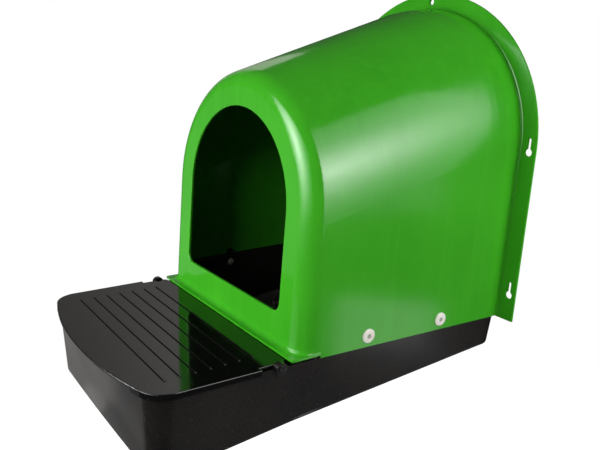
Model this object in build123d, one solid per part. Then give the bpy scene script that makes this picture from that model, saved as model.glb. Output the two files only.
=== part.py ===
from build123d import *
import math
import os

# Roll-away nest box for hens that hangs on a wall. Lengths are in mm, angles in degrees.
# X is the width, the wall plane is y = 0, the front looks towards -Y and Z is up.
# The pieces are drawn with the hood's lower edge at z = 0, and moved at the end so that
# the origin is the centre of the four side keyholes, on the wall plane.

# Hood: an arched tunnel that widens and rises towards the wall
hood_wall = 3.0
hood_depth = 320.3
hood_front_width = 304.0
hood_back_width = 344.6
hood_front_side_height = 142.9
hood_bend_side_height = 219.2
hood_back_side_height = 224.5
hood_bend_length = 55.0
hood_bend_bands = 5
hood_front_lean = 1.7
hood_front_radius = 22.0
hood_below_cut = 12.0

# Doorway
door_width = 216.0
door_sill = 41.6
door_spring_height = 152.3
door_corner_radius = 12.0
door_edge_radius = 1.2

# Foot lip round the hood's front corners
lip_reach = 9.8
lip_underside = 3.4
lip_thickness = 2.8
lip_front_width = 307.6
lip_rear_step = 0.8
lip_length = 38.7
lip_corner_radius = 2.0
lip_root_radius = 6.5
lip_root_bands = 5
lip_root_sink = 0.2

# Wall flange and its keyholes
flange_thickness = 3.0
flange_half_width = 194.3
flange_spring_height = 223.6
flange_drop = 2.3
flange_crease_radius = 2.5
keyhole_edge_distance = 9.8
keyhole_low_z = 32.0
keyhole_high_z = 220.6
keyhole_radius = 5.0
keyhole_slot_width = 4.4
keyhole_rise = 15.8
top_keyhole_edge_distance = 10.9
top_keyhole_radius = 4.0
top_keyhole_rise = 6.0

# Tray: a tub with a sloped floor, reaching out in front of the hood
tray_wall = 3.0
tray_floor = 3.0
tray_reveal = 0.4
tray_nose_reach = 140.7
tray_nose_width = 294.6
tray_bow_reach = 184.9
tray_bow_radius = 452.2
tray_corner_radius = 27.2
tray_back_corner_radius = 14.0
tray_draft = 3.0
tray_back_draft = 4.0
tray_floor_slope = 6.0
tray_bottom_reach = 160.4
tray_bottom_front_z = -90.2
tray_edge_radius = 6.0
tray_inner_edge_radius = 3.0

# Step and upstand inside the hood
fit_gap = 0.3
step_thickness = 3.0
upstand_wall = 2.5
upstand_height = 27.0
lug_width = 11.0
lug_height = 34.0

# Rivets that hold the hood to the upstand
rivet_ys = (-226.0, -112.0)
rivet_z = 13.7
rivet_shank_radius = 4.0
rivet_hole_clearance = 0.2
rivet_head_radius = 8.5
rivet_head_thickness = 2.2
rivet_head_edge = 0.8
rivet_bore_radius = 2.2
rivet_recess_radius = 2.9
rivet_recess_depth = 0.9
rivet_leg_length = 3.5
rivet_bulge_radius = 5.2
rivet_slit = 1.0
rivet_pin_clearance = 0.1
rivet_pin_head_thickness = 0.5
seat_gap = 0.05

# Lid over the collector
lid_top_z = 4.5
lid_thickness = 2.5
lid_overhang = 2.8
lid_skirt_gap = 0.6
lid_skirt_bottom = -2.0
lid_rear_gap = 12.2
lid_step_gap = 46.7
lid_ear_gap = 0.9
lid_rear_radius = 6.0
lid_edge_radius = 0.9
lid_lift_half_width = 115.0
lid_bead_width = 2.0
rib_count = 7
rib_first_reach = 140.8
rib_pitch = 17.03
rib_length = 248.0
rib_width = 2.4
rib_height = 1.1
rib_edge = 0.4

# Hinge
hinge_reach = 23.2
hinge_z = 0.5
hinge_pin_radius = 2.5
hinge_bore_clearance = 0.08
ear_radius = 6.8
ear_reach = 4.5
knuckle_radius = 4.0
knuckle_length = 12.0
pin_reach = 9.0
pin_head_radius = 4.5
pin_head_thickness = 1.5
pin_head_edge = 0.5

# Nest mat on the sloped floor
mat_thickness = 3.0
mat_side_gap = 4.0
mat_front_gap = 2.3
mat_back_gap = 5.0
stud_radius = 4.0
stud_tip_radius = 2.4
stud_height = 3.5
stud_pitch_x = 26.0
stud_pitch_y = 27.0
stud_margin = 14.0

sides = (1, -1)

# Places along the box, from the hood's front plane
front_y = -hood_depth
tray_nose_y = front_y - tray_nose_reach
tray_bow_y = front_y - tray_bow_reach
tray_bottom_front_y = front_y - tray_bottom_reach
lip_rear_y = front_y - lip_reach + lip_length
lid_rear_y = front_y - lid_rear_gap
lid_step_y = front_y - lid_step_gap
rib_first_y = front_y - rib_first_reach
hinge_y = front_y - hinge_reach
mat_front_y = front_y + mat_front_gap
tray_back_y = -flange_thickness - fit_gap

# Keyholes, from the flange's edge
keyhole_x = flange_half_width - keyhole_edge_distance
top_keyhole_z = flange_spring_height + flange_half_width - top_keyhole_edge_distance


def hood_half_width(y):
    share = (y + hood_depth) / hood_depth
    return (hood_front_width + (hood_back_width - hood_front_width) * share) / 2


side_slope = (hood_back_width - hood_front_width) / 2 / hood_depth
bow_centre_y = tray_bow_y + tray_bow_radius
tray_shoulder_half_width = hood_half_width(front_y) - tray_reveal
nose_slope = (tray_shoulder_half_width - tray_nose_width / 2) / (front_y - tray_nose_y)


def rim_half_width(y):
    if y < front_y:
        return tray_shoulder_half_width + nose_slope * (y - front_y)
    return hood_half_width(y) - tray_reveal


# The hinge ears stand on the tray's side walls, and the lid's rear turns between them
ear_inner_x = rim_half_width(hinge_y) - tray_wall
ear_outer_x = rim_half_width(hinge_y) + ear_reach
lid_rear_width = 2 * (ear_inner_x - lid_ear_gap)


def floor_z(y, lift=0.0):
    rise = (y - tray_bottom_front_y) * math.tan(math.radians(tray_floor_slope))
    return tray_bottom_front_z + rise + lift / math.cos(math.radians(tray_floor_slope))


def arch(half_width, side_height, foot):
    left = (-half_width, side_height)
    right = (half_width, side_height)
    legs = Polyline(left, (-half_width, foot), (half_width, foot), right)
    crown = ThreePointArc(right, (0, side_height + half_width), left)
    return make_face(legs + crown)


def facing(y):
    return Plane(origin=(0, y, 0), x_dir=(1, 0, 0), z_dir=(0, -1, 0))


# Everything in plan in front of a line across the box
def zone(rear_y):
    length = rear_y - tray_bow_y + 2 * tray_corner_radius
    return Pos(0, rear_y - length / 2) * Rectangle(2 * flange_half_width, length)


def half_disc(radius, centre_height):
    left = (-radius, centre_height)
    right = (radius, centre_height)
    return make_face(Line(left, right) + ThreePointArc(right, (0, centre_height + radius), left))


def slab(plan, bottom, top):
    return extrude(Pos(0, 0, bottom) * plan, top - bottom, dir=(0, 0, 1))


# The arch springs from a line that rises evenly from the front and bends level at the wall
def spring_height(y):
    bend_y = -hood_bend_length
    rise = (hood_bend_side_height - hood_front_side_height) / (bend_y - front_y)
    excess = hood_bend_side_height - rise * bend_y - hood_back_side_height
    share = max(0, (y - bend_y) / hood_bend_length)
    return hood_bend_side_height + rise * (y - bend_y) - excess * share**2


# The tunnel's outside, or the space inside it where inset is the wall
def tunnel(inset, foot):
    front_half = hood_front_width / 2 - inset
    back_half = hood_back_width / 2 - inset
    plan = Polygon(
        (front_half, front_y),
        (back_half, 0),
        (-back_half, 0),
        (-front_half, front_y),
        align=None,
    )
    band = hood_bend_length / hood_bend_bands
    section_ys = [front_y] + [-band * i for i in range(hood_bend_bands, -1, -1)]
    spring_line = [(y, spring_height(y)) for y in section_ys]
    side = Plane.YZ * Polygon((0, foot), *reversed(spring_line), (front_y, foot), align=None)
    legs = slab(plan, foot, hood_back_side_height + back_half) & extrude(side, back_half, both=True)
    sections = [
        facing(y) * half_disc(hood_half_width(y) - inset, spring_height(y)) for y in section_ys
    ]
    body = legs + loft(sections, ruled=True)
    lean = math.radians(hood_front_lean)
    lean_plane = Plane(
        origin=(0, front_y + inset / math.cos(lean), 0),
        x_dir=(1, 0, 0),
        z_dir=(0, -math.cos(lean), math.sin(lean)),
    )
    body = split(body, bisect_by=lean_plane, keep=Keep.BOTTOM)
    front_face = body.faces().sort_by(Axis.Y)[0]
    edges = front_face.edges().sort_by(Axis.Z)[1:]
    return fillet(edges, hood_front_radius - inset)


def keyhole(radius, slot_width, rise):
    slot = Pos(0, rise / 2) * Rectangle(slot_width, rise)
    tip = Pos(0, rise) * Circle(slot_width / 2)
    return Circle(radius) + slot + tip


def side_plane(side, y):
    return Plane(
        origin=(side * hood_half_width(y), y, rivet_z),
        x_dir=(0, 0, 1),
        z_dir=(side, -side_slope, 0),
    )


rivet_planes = [side_plane(side, y) for side in sides for y in rivet_ys]
rivet_hole_radius = rivet_shank_radius + rivet_hole_clearance


def rivet_holes():
    through = 4 * (hood_wall + upstand_wall)
    return [plane * Cylinder(rivet_hole_radius, through) for plane in rivet_planes]


# Concave sweep from the front wall out to the lip: outlines that follow a quarter circle
def lip_root():
    outlines = []
    for i in range(lip_root_bands + 1):
        turn = math.radians(90 * i / lip_root_bands)
        z = lip_underside + lip_thickness + lip_root_radius * (1 - math.cos(turn))
        share = 1 - math.sin(turn)
        wall_y = front_y + z * math.tan(math.radians(hood_front_lean))
        near_y = wall_y - lip_root_radius * share + lip_root_sink
        near_half = hood_half_width(near_y) + lip_rear_step * share - lip_root_sink
        far_half = hood_half_width(lip_rear_y) + lip_rear_step * share - lip_root_sink
        plan = Polygon(
            (-near_half, near_y),
            (near_half, near_y),
            (far_half, lip_rear_y),
            (-far_half, lip_rear_y),
            align=None,
        )
        plan = fillet(plan.vertices().group_by(Axis.Y)[0], hood_front_radius)
        outlines.append(Pos(0, 0, z) * plan)
    return loft(outlines, ruled=True)


def make_hood():
    outside = tunnel(0, 0)
    flange = facing(0) * arch(flange_half_width, flange_spring_height, -flange_drop)
    outside += extrude(flange, flange_thickness)
    crease = outside.edges().filter_by_position(
        Axis.Y, -flange_thickness - fit_gap, -flange_thickness + fit_gap
    )
    inner_limit = hood_back_width / 2 + fit_gap
    crease = crease.filter_by(lambda e: e.bounding_box().max.X < inner_limit)
    crease = crease.filter_by(lambda e: e.bounding_box().min.X > -inner_limit)
    crease = crease.filter_by(lambda e: e.center().Z > fit_gap)
    outside = fillet(crease, flange_crease_radius)
    lip_y = front_y - lip_reach
    lip_rear_half = hood_half_width(lip_rear_y) + lip_rear_step
    lip_plan = Polygon(
        (-lip_front_width / 2, lip_y),
        (lip_front_width / 2, lip_y),
        (lip_rear_half, lip_rear_y),
        (-lip_rear_half, lip_rear_y),
        align=None,
    )
    lip_plan = fillet(lip_plan.vertices().group_by(Axis.Y)[0], lip_corner_radius)
    outside += slab(lip_plan, lip_underside, lip_underside + lip_thickness)
    outside += lip_root()
    hood = outside - tunnel(hood_wall, -hood_below_cut)
    hood -= slab(zone(lip_rear_y), -hood_below_cut, lip_underside)
    door = arch(door_width / 2, door_spring_height, door_sill)
    door = fillet(door.vertices().group_by(Axis.Y)[0], door_corner_radius)
    hood -= extrude(facing(front_y + hood_front_radius) * door, 2 * hood_front_radius)
    front_face = hood.faces().filter_by(lambda f: len(f.inner_wires()) == 1).sort_by(Axis.Y)[0]
    hood = fillet(front_face.inner_wires()[0].edges(), door_edge_radius)
    side_hole = keyhole(keyhole_radius, keyhole_slot_width, keyhole_rise)
    for x in (keyhole_x, -keyhole_x):
        for z in (keyhole_low_z, keyhole_high_z):
            hood -= extrude(facing(0) * Pos(x, z) * side_hole, flange_thickness)
    top_hole = keyhole(top_keyhole_radius, keyhole_slot_width, top_keyhole_rise)
    hood -= extrude(facing(0) * Pos(0, top_keyhole_z) * top_hole, flange_thickness)
    for hole in rivet_holes():
        hood -= hole
    return hood


def rim_outline(inset):
    beyond = tray_bow_y - tray_corner_radius
    outline = [(beyond, rim_half_width(beyond) - inset)]
    outline.append((front_y, rim_half_width(front_y) - inset))
    outline.append((tray_back_y - inset, rim_half_width(tray_back_y) - inset))
    right = [(half, y) for y, half in outline]
    left = [(-half, y) for y, half in reversed(outline)]
    plan = Polygon(*right, *left, align=None)
    plan &= Pos(0, bow_centre_y) * Circle(tray_bow_radius - inset)
    plan = fillet(plan.vertices().group_by(Axis.Y)[0], tray_corner_radius - inset)
    return fillet(plan.vertices().group_by(Axis.Y)[-1], tray_back_corner_radius - inset)


# The tub's outside, or its hollow where inset and lift are the wall and the floor
def tub(inset, lift, edge_radius):
    slope = math.radians(tray_floor_slope)
    bottom_plane = Plane(
        origin=(0, 0, floor_z(0, lift)),
        x_dir=(1, 0, 0),
        z_dir=(0, -math.sin(slope), math.cos(slope)),
    )
    back_y = tray_back_y - inset + floor_z(tray_back_y, lift) * math.tan(math.radians(tray_back_draft))
    outline = []
    for y in (tray_bottom_front_y + inset, front_y, back_y):
        half = rim_half_width(y) - inset + floor_z(y, lift) * math.tan(math.radians(tray_draft))
        outline.append((half, y / math.cos(slope)))
    left = [(-half, y) for half, y in reversed(outline)]
    base = Polygon(*outline, *left, align=None)
    base = fillet(base.vertices().group_by(Axis.Y)[0], tray_corner_radius - inset)
    base = fillet(base.vertices().group_by(Axis.Y)[-1], tray_back_corner_radius - inset)
    body = loft([rim_outline(inset), bottom_plane * base], ruled=True)
    floor_face = body.faces().sort_by(Axis.Z)[0]
    return fillet(floor_face.edges(), edge_radius)


upstand_front_y = front_y + hood_front_radius + fit_gap


def upstand_outline(inset, reach):
    start_y = upstand_front_y - reach
    back_y = tray_back_y - inset
    gap = hood_wall + fit_gap + inset
    plan = Polygon(
        (hood_half_width(start_y) - gap, start_y),
        (hood_half_width(back_y) - gap, back_y),
        (-hood_half_width(back_y) + gap, back_y),
        (-hood_half_width(start_y) + gap, start_y),
        align=None,
    )
    return fillet(plan.vertices().group_by(Axis.Y)[-1], tray_back_corner_radius - inset)


def make_tray():
    tray = tub(0, 0, tray_edge_radius) - tub(tray_wall, tray_floor, tray_inner_edge_radius)
    inside = upstand_outline(upstand_wall, hood_wall)
    tray += slab(upstand_outline(0, 0) - inside, -step_thickness, upstand_height)
    step_plan = rim_outline(tray_wall / 2) - zone(upstand_front_y) - inside
    tray += slab(step_plan, -step_thickness, 0)
    for plane in rivet_planes:
        depth = hood_wall + fit_gap
        lug = Pos((lug_height - rivet_z) / 2, 0, -depth - upstand_wall / 2) * Box(
            lug_height - rivet_z, lug_width, upstand_wall
        )
        lug = fillet(lug.edges().filter_by(Axis.Z).group_by(Axis.X)[-1], lug_width / 3)
        tray += plane * lug
    for hole in rivet_holes():
        tray -= hole
    for side in sides:
        ear_length = ear_outer_x - ear_inner_x
        centre_x = side * (ear_inner_x + ear_length / 2)
        tray += Pos(centre_x, hinge_y, hinge_z) * Rot(0, 90, 0) * Cylinder(ear_radius, ear_length)
        bore_length = 3 * ear_length
        bore = Cylinder(hinge_pin_radius + hinge_bore_clearance, bore_length)
        tray -= Pos(centre_x, hinge_y, hinge_z) * Rot(0, 90, 0) * bore
    return tray


def make_lid():
    plate_bottom = lid_top_z - lid_thickness
    wide = rim_outline(-lid_overhang) & zone(lid_step_y)
    tail_length = lid_rear_y - lid_step_y + tray_corner_radius
    tail = Pos(0, lid_rear_y - tail_length / 2) * Rectangle(lid_rear_width, tail_length)
    tail = fillet(tail.vertices().group_by(Axis.Y)[-1], lid_rear_radius)
    lid = slab(wide + tail, plate_bottom, lid_top_z)
    top_edges = lid.faces().sort_by(Axis.Z)[-1].outer_wire().edges()
    lid = fillet(top_edges, lid_edge_radius)
    skirt = (rim_outline(-lid_overhang) - rim_outline(-lid_skirt_gap)) & zone(lid_step_y)
    lift = Pos(0, tray_bow_y) * Rectangle(2 * lid_lift_half_width, 2 * tray_corner_radius)
    lid += slab(skirt - lift, lid_skirt_bottom, plate_bottom)
    bead_edge = (tray_wall - lid_bead_width) / 2
    bead = rim_outline(bead_edge) - rim_outline(bead_edge + lid_bead_width)
    lid += slab(bead & zone(lid_step_y), fit_gap, plate_bottom)
    for i in range(rib_count):
        rib = extrude(SlotOverall(rib_length, rib_width), rib_height)
        rib = fillet(rib.faces().sort_by(Axis.Z)[-1].edges(), rib_edge)
        lid += Pos(0, rib_first_y + i * rib_pitch, lid_top_z) * rib
    for side in sides:
        centre_x = side * (lid_rear_width - knuckle_length) / 2
        barrel = Cylinder(knuckle_radius, knuckle_length)
        lid += Pos(centre_x, hinge_y, hinge_z) * Rot(0, 90, 0) * barrel
        bore_x = side * (lid_rear_width / 2 - pin_reach + fit_gap)
        bore_length = 2 * pin_reach
        bore = Cylinder(hinge_pin_radius + hinge_bore_clearance, bore_length)
        lid -= Pos(bore_x + side * (bore_length / 2 - 2 * fit_gap), hinge_y, hinge_z) * Rot(0, 90, 0) * bore
    return lid


def make_hinge_pin(side):
    inner_x = lid_rear_width / 2 - pin_reach
    outer_x = ear_outer_x + seat_gap
    length = outer_x - inner_x
    shank = Pos(0, 0, length / 2) * Cylinder(hinge_pin_radius, length)
    head = Pos(0, 0, length + pin_head_thickness / 2) * Cylinder(pin_head_radius, pin_head_thickness)
    head = chamfer(head.faces().sort_by(Axis.Z)[-1].edges(), pin_head_edge)
    return Pos(side * inner_x, hinge_y, hinge_z) * Rot(0, 90 * side, 0) * (shank + head)


def rivet_sleeve():
    grip = hood_wall + fit_gap + upstand_wall + seat_gap
    profile = Polyline(
        (rivet_bore_radius, -grip - rivet_leg_length),
        (rivet_shank_radius - rivet_slit, -grip - rivet_leg_length),
        (rivet_bulge_radius, -grip - rivet_leg_length / 2),
        (rivet_shank_radius, -grip - fit_gap),
        (rivet_shank_radius, seat_gap),
        (rivet_head_radius, seat_gap),
        (rivet_head_radius, seat_gap + rivet_head_thickness - rivet_head_edge),
        (rivet_head_radius - 2 * rivet_head_edge, seat_gap + rivet_head_thickness),
        (rivet_recess_radius, seat_gap + rivet_head_thickness),
        (rivet_recess_radius, seat_gap + rivet_head_thickness - rivet_recess_depth),
        (rivet_bore_radius, seat_gap + rivet_head_thickness - rivet_recess_depth),
        close=True,
    )
    sleeve = revolve(Plane.XZ * make_face(profile), Axis.Z)
    slit_centre = -grip - rivet_leg_length + (rivet_leg_length - fit_gap) / 2
    slit = Box(3 * rivet_bulge_radius, rivet_slit, rivet_leg_length - fit_gap)
    for angle in (45, 135):
        sleeve -= Pos(0, 0, slit_centre) * Rot(0, 0, angle) * slit
    return sleeve


def rivet_pin():
    top = seat_gap + rivet_head_thickness - rivet_recess_depth + seat_gap
    bottom = -hood_wall - fit_gap - upstand_wall - rivet_leg_length
    length = top - bottom
    shank = Pos(0, 0, bottom + length / 2) * Cylinder(rivet_bore_radius - rivet_pin_clearance, length)
    head_radius = rivet_recess_radius - rivet_pin_clearance
    head = Pos(0, 0, top + rivet_pin_head_thickness / 2) * Cylinder(head_radius, rivet_pin_head_thickness)
    return shank + head


def make_mat():
    slope = math.radians(tray_floor_slope)
    lift = tray_floor + seat_gap
    floor_plane = Plane(
        origin=(0, 0, floor_z(0, lift)),
        x_dir=(1, 0, 0),
        z_dir=(0, -math.sin(slope), math.cos(slope)),
    )
    back_y = tray_back_y - tray_wall - mat_back_gap
    outline = []
    for y in (mat_front_y, back_y):
        inner = rim_half_width(y) - tray_wall + floor_z(y, lift) * math.tan(math.radians(tray_draft))
        outline.append((inner - mat_side_gap, y / math.cos(slope)))
    left = [(-half, y) for half, y in reversed(outline)]
    plan = Polygon(*outline, *left, align=None)
    plan = fillet(plan.vertices().group_by(Axis.Y)[-1], tray_back_corner_radius)
    mat = extrude(plan, mat_thickness)
    front_half = outline[0][0] - stud_margin
    columns = 1 + int(2 * front_half / stud_pitch_x)
    length = outline[1][1] - outline[0][1] - 2 * stud_margin
    rows = 1 + int(length / stud_pitch_y)
    middle_y = (outline[0][1] + outline[1][1]) / 2
    stud = Cone(stud_radius, stud_tip_radius, stud_height)
    stud_lift = mat_thickness + stud_height / 2
    places = Pos(0, middle_y, stud_lift) * GridLocations(stud_pitch_x, stud_pitch_y, columns, rows)
    mat += [place * stud for place in places]
    return floor_plane * mat


pieces = {
    "hood": make_hood(),
    "collector_tray": make_tray(),
    "collector_lid": make_lid(),
    "nest_mat": make_mat(),
    "hinge_pin_right": make_hinge_pin(1),
    "hinge_pin_left": make_hinge_pin(-1),
    "rivet_sleeves": Part() + [plane * rivet_sleeve() for plane in rivet_planes],
    "rivet_pins": Part() + [plane * rivet_pin() for plane in rivet_planes],
}

to_origin = Pos(0, 0, -(keyhole_low_z + keyhole_high_z) / 2)
os.makedirs("parts", exist_ok=True)
for name, piece in pieces.items():
    placed = [to_origin * solid for solid in piece.solids()]
    export_step(Compound(placed), f"parts/{name}.step")
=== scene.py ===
import bpy
import math
import numpy as np
from mathutils import Matrix, Vector


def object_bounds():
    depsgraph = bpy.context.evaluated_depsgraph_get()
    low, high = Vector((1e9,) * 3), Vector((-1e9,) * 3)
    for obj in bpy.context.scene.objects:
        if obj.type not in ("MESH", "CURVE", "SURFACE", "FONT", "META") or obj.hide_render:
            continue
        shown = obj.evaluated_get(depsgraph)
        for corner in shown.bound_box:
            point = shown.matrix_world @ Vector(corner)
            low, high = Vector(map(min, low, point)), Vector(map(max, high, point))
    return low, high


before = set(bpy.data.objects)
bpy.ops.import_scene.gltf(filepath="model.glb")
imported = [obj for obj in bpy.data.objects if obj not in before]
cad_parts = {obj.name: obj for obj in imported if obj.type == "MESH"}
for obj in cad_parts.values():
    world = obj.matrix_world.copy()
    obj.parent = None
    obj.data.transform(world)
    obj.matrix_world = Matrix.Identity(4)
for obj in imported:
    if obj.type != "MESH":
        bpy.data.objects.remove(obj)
bpy.context.view_layer.update()
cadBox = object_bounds()
scene = bpy.context.scene
scene.view_settings.view_transform = "Standard"
print("frame loaded:", len(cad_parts), "nodes")


def hexColour(text):
    # an sRGB hex value turned to the linear colour that a shader socket takes
    parts = [int(text[i:i + 2], 16) / 255 for i in (0, 2, 4)]
    linear = [p / 12.92 if p <= 0.04045 else ((p + 0.055) / 1.055) ** 2.4 for p in parts]
    return (*linear, 1.0)


def addNode(tree, kind, settings=None, links=None):
    # one shader node, with its settings by name or input number and its incoming links
    node = tree.nodes.new(kind)
    for key, value in (settings or {}).items():
        if isinstance(key, str) and hasattr(node, key):
            setattr(node, key, value)
        else:
            node.inputs[key].default_value = value
    for key, source in (links or {}).items():
        tree.links.new(source, node.inputs[key])
    return node


def newMaterial(name):
    material = bpy.data.materials.new(name)
    material.use_nodes = True
    material.node_tree.nodes.clear()
    return material, material.node_tree


# Camera, where the photo's stood, in metres and degrees. Its focal length and the row that it
# points at are in pixels of a picture of the frame's width and height; the sensor's width is in
# millimetres, and nothing nearer than "nearest" shows.
cameraSettings = {
    "place": (0.642605, -0.705035, 0.184075),
    "azimuth": 52.594,
    "elevation": 13.178,
    "roll": 3.36,
    "focalPixels": 633.781,
    "principalRow": 213.782,
    "frameWidth": 600,
    "frameHeight": 450,
    "sensor": 36.0,
    "nearest": 0.01,
}


def makeCamera(s):
    a, e, r = (math.radians(s[k]) for k in ("azimuth", "elevation", "roll"))
    back = Vector((math.sin(a) * math.cos(e), -math.cos(a) * math.cos(e), math.sin(e)))
    level = Vector((math.cos(a), math.sin(a), 0))
    upward = back.cross(level)
    right = level * math.cos(r) + upward * math.sin(r)
    up = upward * math.cos(r) - level * math.sin(r)
    data = bpy.data.cameras.new("camera")
    data.sensor_width = s["sensor"]
    data.sensor_fit = "HORIZONTAL"
    data.lens = s["focalPixels"] * s["sensor"] / s["frameWidth"]
    data.shift_y = (s["principalRow"] - s["frameHeight"] / 2) / s["frameWidth"]
    data.clip_start = s["nearest"]
    camera = bpy.data.objects.new("camera", data)
    scene.collection.objects.link(camera)
    matrix = Matrix((right, up, back)).transposed().to_4x4()
    matrix.translation = Vector(s["place"])
    camera.matrix_world = matrix
    scene.camera = camera


makeCamera(cameraSettings)
print("camera placed")


# Light: a tall softbox at the right, a near one in front that only the gloss mirrors, two fills
# that light only the paint, and three cards that only the gloss mirrors: at the left, low at the
# left, and low behind at the right. A radiance of 1 looks plain white. The profile gives the
# level at heights from a lamp's lower edge, 0, to its upper edge, 1. "hot" is how much brighter
# the cloth is in front of its bulb, at hotPlace and fading over hotReach, both in shares of the
# lamp's width and height.
evenCloth = {
    "tint": (1, 1, 1),
    "profile": ((0.0, 1.0), (1.0, 1.0)),
    "hot": 0.0,
    "hotPlace": (0.5, 0.5),
    "hotReach": (0.6, 0.6),
}
warmTint = (1, 0.96, 0.91)
lightSettings = {
    "sideBox": {
        **evenCloth,
        "at": (1.5, 0.525, 1.25),
        "aim": (-1, 0, 0),
        "size": (1.15, 3.2),
        "radiance": 2.7,
        "profile": ((0.0, 0.2), (0.1, 0.45), (0.334, 0.75), (0.578, 1.0), (0.797, 0.62), (1.0, 0.33)),
        "hot": 4.9,
        "hotPlace": (0.26, 0.334),
        "hotReach": (0.96, 0.33),
        "seenBy": "both",
    },
    "frontBox": {
        **evenCloth,
        "at": (0.07, -0.8, 0.19),
        "aim": (0, 1, 0),
        "size": (0.8, 0.75),
        "radiance": 1.0,
        "profile": ((0.0, 0.0), (0.2, 0.35), (0.36, 0.8), (0.5, 1.0), (1.0, 1.0)),
        "hot": 15.0,
        "hotPlace": (0.36, 0.6),
        "hotReach": (0.64, 0.76),
        "seenBy": "gloss",
    },
    "frontFill": {
        **evenCloth,
        "at": (-0.25, -1.3, 0.12),
        "aim": (0.2, 1, -0.08),
        "size": (0.6, 0.5),
        "radiance": 11.2,
        "seenBy": "paint",
    },
    "rightFill": {
        **evenCloth,
        "at": (0.45, -1.9, 0.42),
        "aim": (-0.12, 1, -0.15),
        "size": (0.5, 0.5),
        "radiance": 13.0,
        "seenBy": "paint",
    },
    "leftCard": {
        **evenCloth,
        "at": (-1.2, 0.05, 0.52),
        "aim": (1, -0.15, -0.3),
        "size": (0.7, 0.85),
        "radiance": 0.14,
        "tint": warmTint,
        "hot": 5.0,
        "hotPlace": (0.1, 0.9),
        "hotReach": (1.2, 1.2),
        "seenBy": "gloss",
    },
    "floorCard": {
        **evenCloth,
        "at": (-0.48, -0.58, -0.4),
        "aim": (0.84, 0.17, 0.52),
        "size": (0.45, 0.3),
        "radiance": 0.2,
        "tint": warmTint,
        "seenBy": "gloss",
    },
    "lowCard": {
        **evenCloth,
        "at": (1.05, 0.52, -0.62),
        "aim": (-1, -0.6, 0.2),
        "size": (0.32, 0.24),
        "radiance": 1.25,
        "seenBy": "gloss",
    },
}


def makeLight(name, s):
    # the lamp's power in watts is its radiance times pi times its area
    data = bpy.data.lights.new(name, "AREA")
    data.shape = "RECTANGLE"
    data.size, data.size_y = s["size"]
    data.color = s["tint"]
    data.energy = s["radiance"] * math.pi * s["size"][0] * s["size"][1]
    data.use_nodes = True
    tree = data.node_tree
    tree.nodes.clear()
    place = addNode(tree, "ShaderNodeNewGeometry")
    axes = addNode(tree, "ShaderNodeSeparateXYZ", {}, {0: place.outputs["Parametric"]})
    profile = addNode(tree, "ShaderNodeValToRGB", {}, {0: axes.outputs["Y"]})
    ramp = profile.color_ramp
    middle = 0.5  # every stop gets its own place in the loop below
    while len(ramp.elements) < len(s["profile"]):
        ramp.elements.new(middle)
    for element, (position, level) in zip(ramp.elements, s["profile"]):
        element.position = position
        element.color = (level, level, level, 1)
    reach = s["hotReach"]
    shift = [-centre / size for centre, size in zip(s["hotPlace"], reach)]
    centred = addNode(
        tree,
        "ShaderNodeMapping",
        {"Location": (*shift, 0), "Scale": (1 / reach[0], 1 / reach[1], 0)},
        {"Vector": place.outputs["Parametric"]},
    )
    spot = addNode(
        tree,
        "ShaderNodeTexGradient",
        {"gradient_type": "QUADRATIC_SPHERE"},
        {0: centred.outputs[0]},
    )
    bulb = addNode(
        tree,
        "ShaderNodeMath",
        {"operation": "MULTIPLY_ADD", 1: s["hot"], 2: 1.0},
        {0: spot.outputs["Fac"]},
    )
    strength = addNode(
        tree,
        "ShaderNodeMath",
        {"operation": "MULTIPLY"},
        {0: bulb.outputs[0], 1: profile.outputs["Color"]},
    )
    glow = addNode(tree, "ShaderNodeEmission", {}, {"Strength": strength.outputs[0]})
    addNode(tree, "ShaderNodeOutputLight", {}, {0: glow.outputs[0]})
    lamp = bpy.data.objects.new(name, data)
    scene.collection.objects.link(lamp)
    lamp.rotation_mode = "QUATERNION"
    lamp.rotation_quaternion = Vector(s["aim"]).to_track_quat("-Z", "Y")
    lamp.location = s["at"]
    lamp.visible_camera = False
    lamp.visible_glossy = s["seenBy"] != "paint"
    lamp.visible_diffuse = s["seenBy"] != "gloss"


for name, settings in lightSettings.items():
    makeLight(name, settings)


# The room round the lamps: "ambient" is the light that the paint gets from it, and "dark" what
# the gloss mirrors, which turns to "pale" round one direction. paleStart and paleFull are the
# cosines of the angles from it at which that begins and is full.
roomSettings = {
    "backdrop": 1.0,
    "ambient": 0.04,
    "dark": 0.05,
    "pale": 0.35,
    "paleTowards": (-0.78, -0.5, -0.41),
    "paleStart": 0.87,
    "paleFull": 0.985,
}


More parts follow.
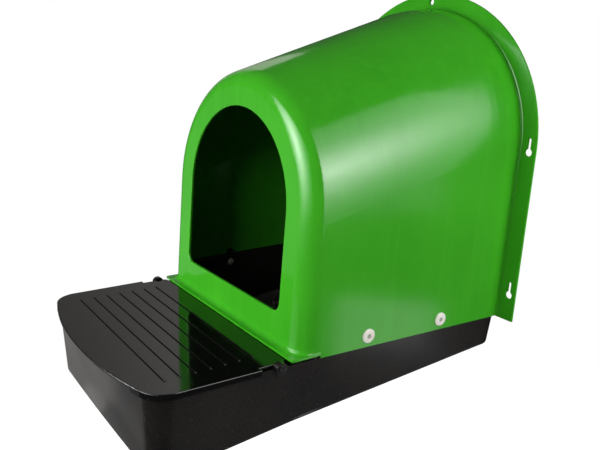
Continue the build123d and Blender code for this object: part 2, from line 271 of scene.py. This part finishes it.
def makeRoom(s):
    # white to the camera, dim to everything else
    world = bpy.data.worlds.new("studio")
    scene.world = world
    world.use_nodes = True
    tree = world.node_tree
    tree.nodes.clear()
    coordinates = addNode(tree, "ShaderNodeTexCoord")
    facing = addNode(
        tree,
        "ShaderNodeVectorMath",
        {"operation": "DOT_PRODUCT", 1: Vector(s["paleTowards"]).normalized()},
        {0: coordinates.outputs["Generated"]},
    )
    mirrored = addNode(
        tree,
        "ShaderNodeMapRange",
        {
            "interpolation_type": "SMOOTHSTEP",
            "From Min": s["paleStart"],
            "From Max": s["paleFull"],
            "To Min": s["dark"],
            "To Max": s["pale"],
        },
        {"Value": facing.outputs["Value"]},
    )
    # a Mix node of numbers takes them at inputs 2 and 3, and its share of the second at 0
    paths = addNode(tree, "ShaderNodeLightPath")
    indoors = addNode(
        tree,
        "ShaderNodeMix",
        {"data_type": "FLOAT", 2: s["ambient"]},
        {0: paths.outputs["Is Glossy Ray"], 3: mirrored.outputs["Result"]},
    )
    seen = addNode(
        tree,
        "ShaderNodeMath",
        {"operation": "MAXIMUM"},
        {0: paths.outputs["Is Camera Ray"], 1: paths.outputs["Is Transmission Ray"]},
    )
    strength = addNode(
        tree,
        "ShaderNodeMix",
        {"data_type": "FLOAT", 3: s["backdrop"]},
        {0: seen.outputs[0], 2: indoors.outputs[0]},
    )
    background = addNode(
        tree,
        "ShaderNodeBackground",
        {"Color": (1, 1, 1, 1)},
        {"Strength": strength.outputs[0]},
    )
    addNode(tree, "ShaderNodeOutputWorld", {}, {"Surface": background.outputs[0]})


makeRoom(roomSettings)


# Floor: "glow" is added to its paint for the camera, and "mirrored" is what the gloss sees of it
floorSettings = {
    "below": 0.30,
    "radius": 0.72,
    "sides": 96,
    "paint": "C8C8C6",
    "glow": 0.8,
    "mirrored": 0.17,
}


def makeFloor(s):
    # a round pale floor some way below the box, which hangs on a wall in use: the points of its
    # rim are the cosine and sine of equal turns, times the radius
    turn = np.linspace(0, 2 * math.pi, s["sides"], endpoint=False)
    level = np.full_like(turn, cadBox[0].z - s["below"])
    rim = np.column_stack([s["radius"] * np.cos(turn), s["radius"] * np.sin(turn), level])
    mesh = bpy.data.meshes.new("floor")
    mesh.from_pydata(rim.tolist(), [], [list(range(s["sides"]))])
    floor = bpy.data.objects.new("floor", mesh)
    scene.collection.objects.link(floor)
    material, tree = newMaterial("painted_floor")
    paths = addNode(tree, "ShaderNodeLightPath")
    glow = addNode(
        tree,
        "ShaderNodeMath",
        {"operation": "MULTIPLY", 1: s["glow"]},
        {0: paths.outputs["Is Camera Ray"]},
    )
    paint = addNode(tree, "ShaderNodeBsdfDiffuse", {"Color": hexColour(s["paint"])})
    light = addNode(tree, "ShaderNodeEmission", {}, {"Strength": glow.outputs[0]})
    both = addNode(tree, "ShaderNodeAddShader", {}, {0: paint.outputs[0], 1: light.outputs[0]})
    mirrored = addNode(tree, "ShaderNodeEmission", {"Strength": s["mirrored"]})
    shown = addNode(
        tree,
        "ShaderNodeMixShader",
        {},
        {0: paths.outputs["Is Glossy Ray"], 1: both.outputs[0], 2: mirrored.outputs[0]},
    )
    addNode(tree, "ShaderNodeOutputMaterial", {}, {"Surface": shown.outputs[0]})
    mesh.materials.append(material)


makeFloor(floorSettings)


flagSettings = {"behind": 0.02, "inset": 0.004, "black": "101010"}


def makeFlag(s):
    # a black card behind the box, unseen by the camera: the wall it hangs on keeps light from
    # coming in at its open back
    low, high = cadBox
    left = low.x + s["inset"]
    right = high.x - s["inset"]
    bottom = low.z + s["inset"]
    top = high.z - s["inset"]
    y = high.y + s["behind"]
    corners = [(left, y, bottom), (right, y, bottom), (right, y, top), (left, y, top)]
    mesh = bpy.data.meshes.new("flag")
    mesh.from_pydata(corners, [], [(0, 1, 2, 3)])
    flag = bpy.data.objects.new("flag", mesh)
    scene.collection.objects.link(flag)
    material, tree = newMaterial("black_card")
    paint = addNode(tree, "ShaderNodeBsdfDiffuse", {"Color": hexColour(s["black"])})
    addNode(tree, "ShaderNodeOutputMaterial", {}, {"Surface": paint.outputs[0]})
    mesh.materials.append(material)
    flag.visible_camera = False


makeFlag(flagSettings)
print("light, room and floor made")


# Patterns lie on Object coordinates, in metres: 100 marks per metre are about 10 mm wide each.
# A stretch under 1 draws them out along that axis, and a height is that of their bumps in metres.
def noise(tree, coordinates, perMetre, detail, stretch=(1, 1, 1), turn=(0, 0, 0)):
    place = addNode(
        tree,
        "ShaderNodeMapping",
        {"Scale": stretch, "Rotation": turn},
        {"Vector": coordinates.outputs["Object"]},
    )
    marks = addNode(
        tree,
        "ShaderNodeTexNoise",
        {"Scale": perMetre, "Detail": detail},
        {"Vector": place.outputs[0]},
    )
    return marks.outputs["Fac"]


def spread(tree, pattern, low=0.0, high=1.0, start=0.3, end=0.7):
    # a 0 to 1 pattern turned to values: low where it is under start, high where it is over end
    return addNode(
        tree,
        "ShaderNodeMapRange",
        {"From Min": start, "From Max": end, "To Min": low, "To Max": high},
        {"Value": pattern},
    ).outputs["Result"]


def blend(tree, amount, first, second):
    # two colours mixed by a pattern; each is a hex value or another node's output, and goes to
    # input 6 or 7 of the Mix node, which gives colours at output 2
    settings = {"data_type": "RGBA"}
    links = {0: amount}
    for number, colour in ((6, first), (7, second)):
        if isinstance(colour, str):
            settings[number] = hexColour(colour)
        else:
            links[number] = colour
    return addNode(tree, "ShaderNodeMix", settings, links).outputs[2]


def relief(tree, layers):
    # bumps stacked from coarse to fine; each layer is a pattern and its height in metres
    normal = None
    for pattern, height in layers:
        links = {"Height": pattern}
        if normal:
            links["Normal"] = normal
        normal = addNode(tree, "ShaderNodeBump", {"Strength": 1.0, "Distance": height}, links).outputs[0]
    return normal


def plastic(tree, settings, colour, roughness, normal):
    # the surface that all the plastics and the rubber share, and its way out of the material
    surface = addNode(
        tree,
        "ShaderNodeBsdfPrincipled",
        settings,
        {"Base Color": colour, "Roughness": roughness, "Normal": normal},
    )
    addNode(tree, "ShaderNodeOutputMaterial", {}, {"Surface": surface.outputs[0]})


hoodFinish = {
    "green": "40AC22",
    "greenShade": "38A01D",
    "flowGreen": "46B027",
    "speckGreen": "2F8F18",
    "cloud": {"perMetre": 9.0, "detail": 3.0},
    "flow": {"perMetre": 70.0, "detail": 2.0, "stretch": (1, 1, 0.06)},
    "flowShare": {"high": 0.35, "start": 0.5, "end": 0.7},
    "speck": {"perMetre": 420.0, "detail": 1.0},
    "speckShare": {"high": 0.5, "start": 0.68, "end": 0.78},
    "smudge": {"perMetre": 22.0, "detail": 4.0},
    "roughness": {"low": 0.10, "high": 0.15},
    "sink": {"perMetre": 11.0, "detail": 0.0},
    "sinkHeight": 0.0003,
    "peel": {"perMetre": 330.0, "detail": 1.0},
    "peelHeight": 0.000012,
    "rub": {"perMetre": 300.0, "detail": 2.0, "stretch": (1, 1, 0.03)},
    "rubHeight": 0.000006,
    "ior": 1.49,
}


def hoodMaterial(s):
    # Injection-moulded polypropylene from a polished mould. Soft sink waves 90 mm apart bend
    # the softbox's edges; orange peel, 0.5 mm on the real part and drawn at 3 mm so that it
    # shows, breaks them up; pigment clouds, flow lines down from the gate at the crown and dark
    # pigment specks keep the green from lying flat; rubbed streaks and smudges dull the gloss.
    material, tree = newMaterial("moulded_polypropylene_green")
    where = addNode(tree, "ShaderNodeTexCoord")
    cloud = spread(tree, noise(tree, where, **s["cloud"]))
    flow = spread(tree, noise(tree, where, **s["flow"]), **s["flowShare"])
    speck = spread(tree, noise(tree, where, **s["speck"]), **s["speckShare"])
    colour = blend(tree, cloud, s["greenShade"], s["green"])
    colour = blend(tree, flow, colour, s["flowGreen"])
    colour = blend(tree, speck, colour, s["speckGreen"])
    roughness = spread(tree, noise(tree, where, **s["smudge"]), **s["roughness"])
    normal = relief(
        tree,
        (
            (noise(tree, where, **s["sink"]), s["sinkHeight"]),
            (noise(tree, where, **s["peel"]), s["peelHeight"]),
            (noise(tree, where, **s["rub"]), s["rubHeight"]),
        ),
    )
    plastic(tree, {"IOR": s["ior"]}, colour, roughness, normal)
    return material


trayFinish = {
    "black": "151313",
    "bloom": "1F1D1B",
    "dust": "4A443C",
    "cloud": {"perMetre": 16.0, "detail": 3.0},
    "speck": {"perMetre": 900.0, "detail": 0.0},
    "speckShare": {"high": 0.6, "start": 0.72, "end": 0.8},
    "scuff": {"perMetre": 260.0, "detail": 2.0, "stretch": (1, 1, 0.05)},
    "roughness": {"low": 0.17, "high": 0.22},
    "sink": {"perMetre": 12.0, "detail": 0.0},
    "sinkHeight": 0.0003,
    "grain": {"perMetre": 620.0, "detail": 2.0},
    "grainHeight": 0.000012,
    "ior": 1.49,
}


def trayMaterial(s):
    # Black polypropylene from a spark-eroded mould: a grain of 0.2 mm, drawn at 1.6 mm so that
    # it shows, makes it satin; a grey bloom and fine pale dust lie over it, and upright scuffs
    # run the way the part left its mould.
    material, tree = newMaterial("moulded_polypropylene_black")
    where = addNode(tree, "ShaderNodeTexCoord")
    bloom = spread(tree, noise(tree, where, **s["cloud"]))
    dust = spread(tree, noise(tree, where, **s["speck"]), **s["speckShare"])
    colour = blend(tree, bloom, s["black"], s["bloom"])
    colour = blend(tree, dust, colour, s["dust"])
    roughness = spread(tree, noise(tree, where, **s["scuff"]), **s["roughness"])
    normal = relief(
        tree,
        (
            (noise(tree, where, **s["sink"]), s["sinkHeight"]),
            (noise(tree, where, **s["grain"]), s["grainHeight"]),
        ),
    )
    plastic(tree, {"IOR": s["ior"]}, colour, roughness, normal)
    return material


lidFinish = {
    "black": "0B0A0A",
    "dust": "55504A",
    "speck": {"perMetre": 750.0, "detail": 0.0},
    "speckShare": {"high": 0.5, "start": 0.78, "end": 0.84},
    "smudge": {"perMetre": 26.0, "detail": 4.0},
    "roughness": {"low": 0.05, "high": 0.10},
    "sink": {"perMetre": 16.0, "detail": 1.0},
    "sinkHeight": 0.00018,
    "across": {"perMetre": 500.0, "detail": 1.0, "stretch": (0.03, 1, 1), "turn": (0, 0, 0.35)},
    "acrossLine": {"start": 0.62, "end": 0.72},
    "along": {"perMetre": 500.0, "detail": 1.0, "stretch": (1, 0.04, 1), "turn": (0, 0, -0.5)},
    "alongLine": {"start": 0.64, "end": 0.74},
    "scratchHeight": 0.000012,
    "ior": 1.54,
}


def lidMaterial(s):
    # Polished ABS, a near mirror: hairline scratches two ways from wiping (drawn 2 mm apart,
    # finer on the real lid), dull hand marks 40 mm across, a few specks of litter dust and a
    # slight wave between the ribs that bends what it mirrors.
    material, tree = newMaterial("polished_abs_black")
    where = addNode(tree, "ShaderNodeTexCoord")
    dust = spread(tree, noise(tree, where, **s["speck"]), **s["speckShare"])
    colour = blend(tree, dust, s["black"], s["dust"])
    roughness = spread(tree, noise(tree, where, **s["smudge"]), **s["roughness"])
    across = spread(tree, noise(tree, where, **s["across"]), **s["acrossLine"])
    along = spread(tree, noise(tree, where, **s["along"]), **s["alongLine"])
    normal = relief(
        tree,
        (
            (noise(tree, where, **s["sink"]), s["sinkHeight"]),
            (across, s["scratchHeight"]),
            (along, s["scratchHeight"]),
        ),
    )
    plastic(tree, {"IOR": s["ior"]}, colour, roughness, normal)
    return material


matFinish = {
    "black": "121110",
    "brown": "33291F",
    "litter": {"perMetre": 60.0, "detail": 5.0},
    "litterShare": {"high": 0.8, "start": 0.45, "end": 0.7},
    "roughness": {"low": 0.7, "high": 0.9},
    "pipsPerMetre": 240.0,
    "pipScatter": 0.25,
    "pipDome": {"low": 1.0, "high": 0.0, "start": 0.1, "end": 0.5},
    "pipHeight": 0.0006,
    "grain": {"perMetre": 700.0, "detail": 1.0},
    "grainHeight": 0.00008,
    "ior": 1.52,
}


def matMaterial(s):
    # Moulded rubber with a field of round pips 4 mm apart that keep the egg rolling; it is dull
    # and picks up brown dust from the hen's litter.
    material, tree = newMaterial("moulded_rubber_pips")
    where = addNode(tree, "ShaderNodeTexCoord")
    litter = noise(tree, where, **s["litter"])
    colour = blend(tree, spread(tree, litter, **s["litterShare"]), s["black"], s["brown"])
    roughness = spread(tree, litter, **s["roughness"])
    pips = addNode(
        tree,
        "ShaderNodeTexVoronoi",
        {
            "voronoi_dimensions": "3D",
            "feature": "SMOOTH_F1",
            "Scale": s["pipsPerMetre"],
            "Randomness": s["pipScatter"],
        },
        {"Vector": where.outputs["Object"]},
    )
    normal = relief(
        tree,
        (
            (spread(tree, pips.outputs["Distance"], **s["pipDome"]), s["pipHeight"]),
            (noise(tree, where, **s["grain"]), s["grainHeight"]),
        ),
    )
    plastic(tree, {"IOR": s["ior"]}, colour, roughness, normal)
    return material


pinFinish = {
    "black": "131212",
    "worn": "2C2A29",
    "wear": {"perMetre": 180.0, "detail": 3.0},
    "wearShare": {"start": 0.5, "end": 0.7},
    "roughness": {"low": 0.2, "high": 0.34},
    "rings": {"perMetre": 900.0, "detail": 1.0, "stretch": (1, 0.02, 0.02)},
    "ringHeight": 0.00003,
    "ior": 1.48,
}


def pinMaterial(s):
    # Turned acetal: fine rings round the pin (0.3 mm, drawn at 1 mm), with greyed worn spots.
    material, tree = newMaterial("turned_acetal_black")
    where = addNode(tree, "ShaderNodeTexCoord")
    wear = noise(tree, where, **s["wear"])
    colour = blend(tree, spread(tree, wear, **s["wearShare"]), s["black"], s["worn"])
    roughness = spread(tree, wear, **s["roughness"])
    normal = relief(tree, ((noise(tree, where, **s["rings"]), s["ringHeight"]),))
    plastic(tree, {"IOR": s["ior"]}, colour, roughness, normal)
    return material


sleeveFinish = {
    "name": "moulded_nylon_cream",
    "white": "FBF9F0",
    "cream": "F4F0E2",
    "cloud": {"perMetre": 150.0, "detail": 2.0},
    "roughness": {"low": 0.26, "high": 0.4},
    "grain": {"perMetre": 1100.0, "detail": 1.0},
    "grainHeight": 0.00002,
    "glow": 0.2,
    "glowDepth": 0.0015,
    "glowColours": (1.0, 0.9, 0.7),
    "ior": 1.53,
}
# The rivet pins are the same nylon painted a darker grey. That grey is painted shade, standing for the
# shadow in the recess at the centre of each rivet head.
pinheadPaintedShadeFinish = dict(sleeveFinish, name="nylon_grey_painted_recess_shade", white="B4B0A6", cream="98948A")


def nylonMaterial(s):
    # Moulded nylon: it glows a little where the light goes in, has creamy clouds 7 mm across
    # from the damp it takes up, and a fine mould grain (drawn at 1 mm) that softens its shine.
    material, tree = newMaterial(s["name"])
    where = addNode(tree, "ShaderNodeTexCoord")
    cloud = noise(tree, where, **s["cloud"])
    colour = blend(tree, spread(tree, cloud), s["cream"], s["white"])
    roughness = spread(tree, cloud, **s["roughness"])
    normal = relief(tree, ((noise(tree, where, **s["grain"]), s["grainHeight"]),))
    settings = {
        "IOR": s["ior"],
        "Subsurface Weight": s["glow"],
        "Subsurface Radius": s["glowColours"],
        "Subsurface Scale": s["glowDepth"],
    }
    plastic(tree, settings, colour, roughness, normal)
    return material


# By slot for most pieces, and by name for those that differ from the rest of their slot. Blender
# may have added a number to a slot's name.
finishes = {
    "hood_plastic": hoodMaterial(hoodFinish),
    "tray_plastic": trayMaterial(trayFinish),
    "lid_plastic": lidMaterial(lidFinish),
    "mat_rubber": matMaterial(matFinish),
    "rivet_plastic": nylonMaterial(sleeveFinish),
}
hingePin = pinMaterial(pinFinish)
ownFinishes = {
    "hinge_pin_left": hingePin,
    "hinge_pin_right": hingePin,
    # the pins' darker grey is painted shade for the recess in each rivet head
    "rivet_pins": nylonMaterial(pinheadPaintedShadeFinish),
}
for name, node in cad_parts.items():
    for place in node.material_slots:
        place.material = ownFinishes.get(name) or finishes[place.material.name.split(".")[0]]
print("finishes made")


bpy.context.view_layer.update()
